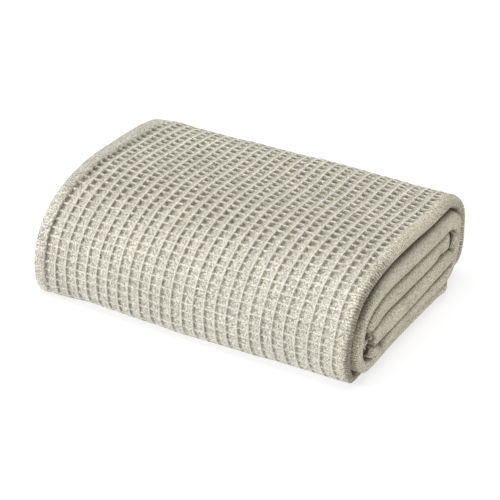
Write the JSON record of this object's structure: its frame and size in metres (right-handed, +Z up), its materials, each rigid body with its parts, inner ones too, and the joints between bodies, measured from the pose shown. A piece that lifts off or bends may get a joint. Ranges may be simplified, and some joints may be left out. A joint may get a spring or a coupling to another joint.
{
  "type": "folded waffle weave cotton blanket",
  "caption": "Cotton blanket in a waffle weave, folded in quarters along its length and rolled into a flattened bundle that lies on its side.",
  "frame": {"origin": "on the underside, below the middle of the bundle's box", "axes": "+X along the bundle from the hems to the double fold, +Y from the rounded front to the back, +Z up"},
  "size_m": [0.3688, 0.267, 0.1133],
  "materials": {
    "cotton": "undyed heathered waffle weave, matt"
  },
  "bodies": {
    "root": {"blanket": "cotton"}
  },
  "joints": []
}
